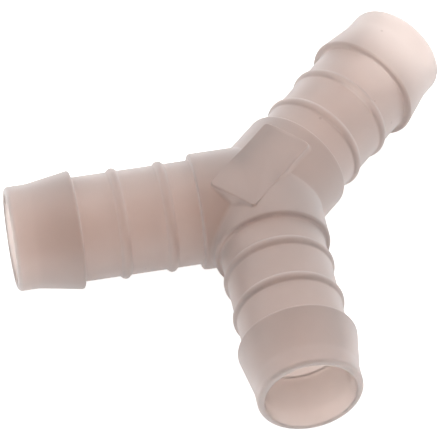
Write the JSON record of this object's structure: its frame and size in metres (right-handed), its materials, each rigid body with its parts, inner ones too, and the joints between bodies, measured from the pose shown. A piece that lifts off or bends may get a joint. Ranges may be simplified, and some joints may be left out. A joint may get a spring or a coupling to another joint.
{
  "type": "tubing y connector",
  "caption": "Moulded translucent plastic Y connector: ringed and barbed hose tails run out from a plain hub that has a flat marking pad on top.",
  "frame": {"origin": "where the centre lines of the stem and of the branches meet, inside the hub", "axes": "+Y out along the stem's centre line; the branches run out towards -Y at 45 degrees to either side, +X to the right; +Z out of the face that carries the marking pad, square to the plane of the arms"},
  "size_m": [0.0774, 0.0845, 0.0216],
  "materials": {
    "natural_polypropylene": "satin, milky and translucent"
  },
  "bodies": {
    "root": {"y_connector": "natural_polypropylene"}
  },
  "joints": []
}
